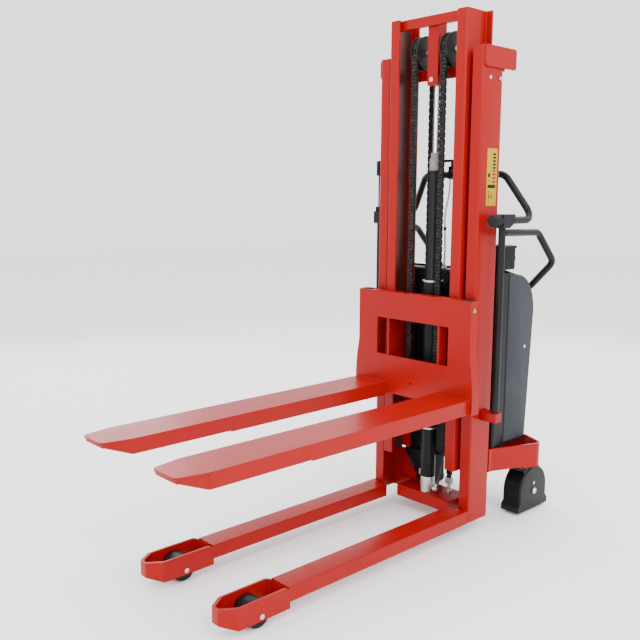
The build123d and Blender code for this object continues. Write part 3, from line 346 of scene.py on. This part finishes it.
def pale_sheath():
    f = Finish("pale_sheath")
    grime = f.noise(40, 4)
    f.feed(Base_Color=f.mixed(grime, (0.60, 0.60, 0.61), (0.44, 0.44, 0.43)), Roughness=0.35 + grime * 0.2)
    return f.bumped(f.noise(500, 2), 0.1, 0.0003).material


def stop_red():
    f = Finish("stop_red", Coat_Weight=0.3)
    dull = f.noise(60, 3)
    f.feed(Base_Color=f.mixed(dull, (0.62, 0.02, 0.012), (0.48, 0.015, 0.010)), Roughness=0.28 + dull * 0.15)
    return f.bumped(f.noise(300, 2), 0.06, 0.0003).material


def load_label():
    """A yellow load label with plain rows of marks that spell nothing."""
    f = Finish("load_label", Specular_IOR_Level=0.12)
    y, z = f.axes()[1:]
    across = f.steps(y, MAST + .040, MAST + .098)
    up = f.steps(z, 1.196, 1.393)

    def band(value, low, high):
        return (value > low) * (value < high)

    def marks(column, span, pitch, share):
        tick = f.node("ShaderNodeMath", {"operation": "FRACT"}, {0: up * pitch})
        return band(across, *column) * band(up, *span) * (tick < share)
    dark = marks((.58, .86), (.60, .93), 17, .62) + marks((.12, .34), (.43, .62), 8, .55)
    dark = dark + band(across, .10, .88) * band(up, .31, .37) + marks((.20, .25), (.06, .26), 1, 1)
    dark = dark + marks((.55, .60), (.12, .24), 1, 1) + marks((.24, .50), (.14, .20), 30, .5)
    scarlet = marks((.56, .88), (.40, .58), 15, .6)
    sheet = f.mixed(f.noise(20, 3), (0.40, 0.27, 0.0001), (0.36, 0.24, 0.0001))
    sheet = f.mixed(f.node("ShaderNodeClamp", {}, {"Value": dark}), sheet, (0.006, 0.005, 0.004))
    sheet = f.mixed(scarlet, sheet, (0.36, 0.004, 0.001))
    f.feed(Base_Color=sheet, Roughness=0.3 + f.noise(60, 2) * 0.15)
    return f.bumped(f.noise(120, 2), 0.05, 0.0003).material


def sign_yellow():
    f = Finish("sign_yellow", Specular_IOR_Level=0.12)
    aged = f.noise(80, 3)
    f.feed(Base_Color=f.mixed(aged, (0.42, 0.28, 0.0001), (0.37, 0.25, 0.0001)), Roughness=0.32 + aged * 0.15)
    return f.bumped(aged, 0.05, 0.0003).material


def pale_plate():
    f = Finish("pale_plate")
    aged = f.noise(90, 3)
    f.feed(Base_Color=f.mixed(aged, (0.62, 0.63, 0.64), (0.50, 0.51, 0.52)), Roughness=0.35 + aged * 0.2)
    return f.bumped(aged, 0.05, 0.0003).material


def studio_floor():
    f = Finish("studio_floor")
    f.feed(Base_Color=f.mixed(f.noise(2, 2), (0.97, 0.97, 0.97), (0.96, 0.96, 0.965)),
           Roughness=0.75 + f.noise(4, 2) * 0.1)
    return f.material


RED, BLACK, STEEL, CHROME = red_enamel(), black_enamel(), turned_steel(), hard_chrome()
OILED, LINKS, NYLON, PLASTIC = oiled_steel(), greased_links(), rolled_nylon(), moulded_black()
RUBBER, COVER, HOSE, SHEATH = grip_rubber(), grained_cover(), soft_black_hose(), pale_sheath()
STOP, LABEL, SIGN, PALE = stop_red(), load_label(), sign_yellow(), pale_plate()
TRACK, ZINC = greased_shaded_track(), zinc_grey()
FINISHES = {"red_paint": RED, "black_paint": BLACK, "bare_steel": STEEL, "polished_rod": CHROME,
            "roller_steel": OILED, "chain_steel": LINKS, "black_nylon": NYLON, "black_plastic": PLASTIC,
            "grip_rubber": RUBBER, "grey_cover": COVER, "stop_red": STOP, "hose_rubber": HOSE,
            "cable_grey": SHEATH}


# ------------------------------------------------------------------ making pieces
def finished(name, mesh, finish, body, smooth=35):
    """Turn a bmesh into a named piece that rides on a body."""
    data = bpy.data.meshes.new(name)
    mesh.to_mesh(data)
    mesh.free()
    for face in data.polygons:
        face.use_smooth = True
    data.set_sharp_from_angle(angle=math.radians(smooth))
    data.materials.append(finish)
    piece = bpy.data.objects.new(name, data)
    bpy.context.scene.collection.objects.link(piece)
    if body:
        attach(piece, body)
    return piece


def round_edges(piece, width, steps=2, angle=40):
    bevel = piece.modifiers.new("rounded_edges", "BEVEL")
    bevel.width = width
    bevel.segments = steps
    bevel.limit_method = "ANGLE"
    bevel.angle_limit = math.radians(angle)
    bevel.use_clamp_overlap = True
    bevel.harden_normals = True
    return piece


def eased(node, width):
    """A CAD piece made again with its sharp edges eased, as sheet and bar really are."""
    mesh = bmesh.new()
    mesh.from_mesh(frame["nodes"][node].data)
    bmesh.ops.remove_doubles(mesh, verts=mesh.verts, dist=2e-6)
    bmesh.ops.dissolve_limit(mesh, angle_limit=math.radians(0.4), verts=mesh.verts, edges=mesh.edges)
    piece = finished(node + "_eased", mesh, FINISHES[SLOT_OF[node]], BODY_OF[node])
    round_edges(piece, width)
    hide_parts(node)
    return piece


def box_mesh(low, high):
    mesh = bmesh.new()
    bmesh.ops.create_cube(mesh, size=1)
    size = Vector(high) - Vector(low)
    bmesh.ops.scale(mesh, vec=size, verts=mesh.verts)
    bmesh.ops.translate(mesh, vec=(Vector(low) + Vector(high)) / 2, verts=mesh.verts)
    return mesh


def turned(mesh, centre, axis, radius, length, sides=24, top=None):
    """Add a round or hexagonal bar to a mesh, along X, Y or Z."""
    turn = {"x": Matrix.Rotation(math.pi / 2, 4, "Y"), "y": Matrix.Rotation(math.pi / 2, 4, "X"),
            "z": Matrix.Identity(4)}[axis]
    bmesh.ops.create_cone(mesh, cap_ends=True, segments=sides, radius1=radius,
                          radius2=radius if top is None else top, depth=length,
                          matrix=Matrix.Translation(centre) @ turn)


# ------------------------------------------------------------------ CAD pieces and their finishes
for node_name, node_object in frame["nodes"].items():
    finish = FINISHES[SLOT_OF[node_name]]
    if not node_object.data.materials:
        node_object.data.materials.append(finish)
    for slot_index in range(len(node_object.data.materials)):
        node_object.data.materials[slot_index] = finish

EDGES = {
    .0022: ("legs", "load_yokes", "outer_mast_left", "outer_mast_right", "inner_mast_left",
            "inner_mast_right", "fork_left", "fork_right", "carriage_frame", "rear_frame", "mast_head"),
    .0015: ("base_crossbeam", "cylinder_seat", "mast_top_plates", "front_casing", "pole_brackets",
            "handle_clamps", "castor_body_left", "castor_body_right", "load_roller_left",
            "load_roller_right"),
    .0008: ("cylinder_barrel", "cylinder_gland", "cylinder_foot", "castor_plates", "castor_bolts_left",
            "castor_bolts_right", "frame_bolts", "load_axles", "lever_bracket", "control_lever",
            "carriage_caps", "castor_wheel_left", "castor_wheel_right", "control_pod", "upper_handle",
            "lower_handle", "handle_poles", "handle_grip", "pump_unit", "lowering_stick",
            "chain_sheaves", "sleeve_rings", "mast_rollers", "carriage_rollers_lower",
            "carriage_rollers_upper", "line_fittings"),
}
for edge_width, node_names in EDGES.items():
    for node_name in node_names:
        eased(node_name, edge_width)


# ------------------------------------------------------------------ rear cover
def rear_cover():
    """The power unit's cover: its side outline drawn across the machine, then hollowed from the front."""
    mesh = bmesh.new()
    half = .2345
    outline = [(.207, .303), (.352, .303), (.380, .795)]
    for k in range(1, 15):
        sweep = math.radians(90 * k / 15)
        outline.append((.272 + .108 * math.cos(sweep), .795 + .146 * math.sin(sweep)))
    outline += [(.272, .941), (.207, .959)]
    rim = [mesh.verts.new(at(-half, y, z)) for y, z in outline]
    face = mesh.faces.new(rim)
    pushed = bmesh.ops.extrude_face_region(mesh, geom=[face])
    moved = [v for v in pushed["geom"] if isinstance(v, bmesh.types.BMVert)]
    bmesh.ops.translate(mesh, vec=(2 * half, 0, 0), verts=moved)
    bmesh.ops.recalc_face_normals(mesh, faces=mesh.faces)
    front = [f for f in mesh.faces if all(abs(v.co.y - MAST - .207) < 1e-5 for v in f.verts)]
    ends = [e for e in mesh.edges if abs(e.verts[0].co.x - e.verts[1].co.x) < 1e-6
            and min(v.co.y for v in e.verts) > MAST + .206 and max(v.co.y for v in e.verts) > MAST + .21]
    bmesh.ops.delete(mesh, geom=front, context="FACES_ONLY")
    bmesh.ops.bevel(mesh, geom=ends, offset=.013, offset_type="OFFSET", segments=5, profile=0.5,
                    affect="EDGES", material=-1, clamp_overlap=True)
    bmesh.ops.recalc_face_normals(mesh, faces=mesh.faces)
    if sum((f.calc_center_median().z - .6) * f.normal.z * f.calc_area() for f in mesh.faces) < 0:
        bmesh.ops.reverse_faces(mesh, faces=mesh.faces)
    cover = finished("rear_cover_shell", mesh, COVER, "chassis", 50)
    wall = cover.modifiers.new("wall", "SOLIDIFY")
    wall.thickness = .004
    wall.offset = -1
    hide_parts("rear_cover")


rear_cover()

bpy.data.objects["cylinder_gland_eased"].data.materials[0] = ZINC
# Inward faces of the inner masts take the track finish: a grease film there, and partly painted shade for the
# channel insides.
for track_name in ("inner_mast_left", "inner_mast_right"):
    track = bpy.data.objects[track_name + "_eased"]
    track.data.materials.append(TRACK)
    for face in track.data.polygons:
        inward = abs(face.normal.x) > .9 and face.normal.x * face.center.x < 0 and abs(face.center.x) > .158
        if inward:
            face.material_index = 1


# ------------------------------------------------------------------ lift chains
PITCH = .0127           # from pin to pin
CHAIN = .066            # each chain's distance from the middle
SHEAVE_Z = 1.742
WRAP_R = .050
PLATE_R, PLATE_T = .0058, .0026
PIN_R, PIN_LENGTH = .0024, .0236
WRAP_STEPS = 12


def link_plate(mesh, x, place, turn):
    made = bmesh.ops.create_circle(mesh, cap_ends=True, segments=10, radius=PLATE_R)["verts"]
    for vert in made:
        reach = PITCH / 2 if vert.co.y > 1e-6 else -PITCH / 2
        vert.co = (0, vert.co.x, vert.co.y + reach)
    face = made[0].link_faces[0]
    pushed = bmesh.ops.extrude_face_region(mesh, geom=[face])["geom"]
    top = [g for g in pushed if isinstance(g, bmesh.types.BMVert)]
    bmesh.ops.translate(mesh, vec=(PLATE_T, 0, 0), verts=top)
    for vert in made + top:
        vert.co = turn @ (vert.co + Vector((x - PLATE_T / 2, 0, 0))) + place


def chain_run(name, node, body, stations):
    """Leaf chain: plates and pins along a line of stations, each a place and how far it turns about X."""
    mesh = bmesh.new()
    for side in (-CHAIN, CHAIN):
        for count, (y, z, turn) in enumerate(stations):
            spin = Matrix.Rotation(turn, 3, "X")
            centre = at(side, y, z)
            for x in ((-.0099, -.0033, .0033, .0099) if count % 2 else (-.0066, 0, .0066)):
                link_plate(mesh, x, centre, spin)
            pin = centre + spin @ Vector((0, 0, PITCH / 2))
            turned(mesh, pin, "x", PIN_R, PIN_LENGTH, 6)
    bmesh.ops.recalc_face_normals(mesh, faces=mesh.faces)
    run = finished(name, mesh, LINKS, body, 30)
    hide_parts(node)
    return run


def straight(y, low, high):
    count = int((high - low) / PITCH)
    return [(y, high - PITCH * (k + 0.5), 0.0) for k in range(count)]


def wrapped():
    """The turn over the sheave, from the front fall to the rear one."""
    around = []
    for k in range(WRAP_STEPS):
        angle = math.pi * (k + 0.5) / WRAP_STEPS
        around.append((WRAP_R - WRAP_R * math.cos(angle), SHEAVE_Z + WRAP_R * math.sin(angle), -angle))
    return around


front_run = chain_run("front_chain_links", "front_chains", None, straight(0, .560, SHEAVE_Z))
rear_run = chain_run("rear_chain_links", "rear_chains", None, straight(2 * WRAP_R, .150, SHEAVE_Z))
chain_run("wrapped_chain_links", "chain_wraps", "inner_mast", wrapped())
at(0, 0, 1.742)
at(0, 0, .560)
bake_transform(front_run)
at(0, .1, 1.742)
at(0, .1, .150)
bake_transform(rear_run)


# ------------------------------------------------------------------ welds
def weld(name, body, runs, radius=.0036):
    """Weld beads: overlapping lumps laid along each run."""
    mesh = bmesh.new()
    for a, b in runs:
        a, b = at(*a), at(*b)
        count = max(3, int((b - a).length / .0062))
        for k in range(count + 1):
            lump = 1 + 0.16 * math.sin(k * 2.4 + a.x * 90)
            spot = a.lerp(b, k / count) + Vector((0, 0, .0008 * math.sin(k * 1.7)))
            bmesh.ops.create_icosphere(mesh, subdivisions=1, radius=radius * lump,
                                       matrix=Matrix.Translation(spot))
    finished(name, mesh, RED, body, 80)


for sign in (-1, 1):
    side = "left" if sign < 0 else "right"
    weld("fork_heel_welds_" + side, "carriage",
         [((sign * .121, -.0685, .524), (sign * .268, -.0685, .524)),
          ((sign * .2705, -.068, .478), (sign * .2705, -.068, .522)),
          ((sign * .1195, -.068, .485), (sign * .1195, -.068, .522))])
    weld("leg_welds_" + side, "chassis",
         [((sign * .203, .0005, .091), (sign * .228, .0005, .091)),
          ((sign * .1895, -.0005, .100), (sign * .1895, -.0005, .088)),
          ((sign * .156, -.860, .0890), (sign * .230, -.860, .0890)),
          ((sign * .2352, -.860, .050), (sign * .2352, -.860, .083))], .0028)
    weld("mast_plate_welds_" + side, "chassis",
         [((sign * .2350, .0045, 1.672), (sign * .2350, .0045, 1.726)),
          ((sign * .2350, .012, 1.6625), (sign * .2350, .104, 1.6625))], .003)
    weld("bracket_welds_" + side, "chassis",
         [((sign * .2350, .048, .461), (sign * .2350, .088, .461)),
          ((sign * .2350, .0455, .430), (sign * .2350, .0455, .456)),
          ((sign * .2350, .1160, .214), (sign * .2350, .1160, .292))], .003)


# ------------------------------------------------------------------ labels and small trim
def label_sheet():
    mesh = box_mesh(at(.2346, .040, 1.196), at(.2351, .098, 1.393))
    finished("load_label_sheet", mesh, LABEL, "chassis")


def warning_sign():
    """A plain triangle with a dark rim."""
    mesh = bmesh.new()
    centre = at(.2682, -.048, .838)
    for scale, rise in ((.0190, 0), (.0140, .0003)):
        made = bmesh.ops.create_cone(mesh, cap_ends=True, segments=3, radius1=scale, radius2=scale,
                                     depth=.0004)
        upright = Matrix.Rotation(math.pi / 2, 4, "Y") @ Matrix.Rotation(math.pi / 2, 4, "Z")
        bmesh.ops.transform(mesh, matrix=Matrix.Translation(centre + Vector((rise, 0, 0))) @ upright,
                            verts=made["verts"])
    sign = finished("warning_sign", mesh, PLASTIC, "carriage")
    sign.data.materials.append(SIGN)
    for face in sign.data.polygons:
        if min(sign.data.vertices[v].co.x for v in face.vertices) > centre.x + .0004:
            face.material_index = 1


def pod_plate():
    mesh = box_mesh(at(.196, .1855, .982), at(.214, .1862, 1.028))
    finished("pod_face_plate", mesh, PALE, "chassis")
    mesh = box_mesh(at(.104, .2578, 1.018), at(.150, .2586, 1.030))
    finished("pod_gauge_plate", mesh, PALE, "chassis")


def cover_trim():
    mesh = bmesh.new()
    for x in (-.19, .19):
        for z in (.36, .72):
            lean = .352 + .028 * (z - .303) / .492
            turned(mesh, at(x, lean + .0012, z), "y", .0065, .004, 6)
    turned(mesh, at(0, .3805, .80), "y", .0065, .004, 6)
    finished("cover_rear_screws", mesh, STEEL, "chassis")
    vent = bmesh.new()
    for k in range(7):
        z = .400 + .018 * k
        lean = .352 + .028 * (z - .303) / .492
        slat = bmesh.ops.create_cube(vent, size=1)["verts"]
        bmesh.ops.scale(vent, vec=(.120, .0026, .008), verts=slat)
        bmesh.ops.translate(vent, vec=at(0, lean + .0008, z), verts=slat)
    round_edges(finished("cover_rear_vents", vent, PLASTIC, "chassis"), .0007)


label_sheet()
warning_sign()
pod_plate()
cover_trim()

# ------------------------------------------------------------------ hose and cable
lift_hose.data.materials.append(HOSE)
control_cable.data.materials.append(SHEATH)
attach(lift_hose, "chassis")
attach(control_cable, "chassis")
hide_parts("lift_hose")
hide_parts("control_cable")
tuple(at(*HOSE_ROUTE[0]))
tuple(at(*CABLE_ROUTE[0]))
nub = bmesh.new()
turned(nub, at(-.0525, .1803, 1.104), "z", .0058, .012, 16)
finished("cable_clip", nub, PLASTIC, "chassis")

# ------------------------------------------------------------------ floor and world
ground = bmesh.new()
bmesh.ops.create_grid(ground, x_segments=1, y_segments=1, size=14)
bmesh.ops.translate(ground, vec=(0, 0, -.0005), verts=ground.verts)
floor = finished("floor", ground, studio_floor(), None)
world = bpy.data.worlds.new("studio")
world.use_nodes = True
world.node_tree.nodes["Background"].inputs["Color"].default_value = (1, 1, 1, 1)
world.node_tree.nodes["Background"].inputs["Strength"].default_value = 2.0
bpy.context.scene.world = world
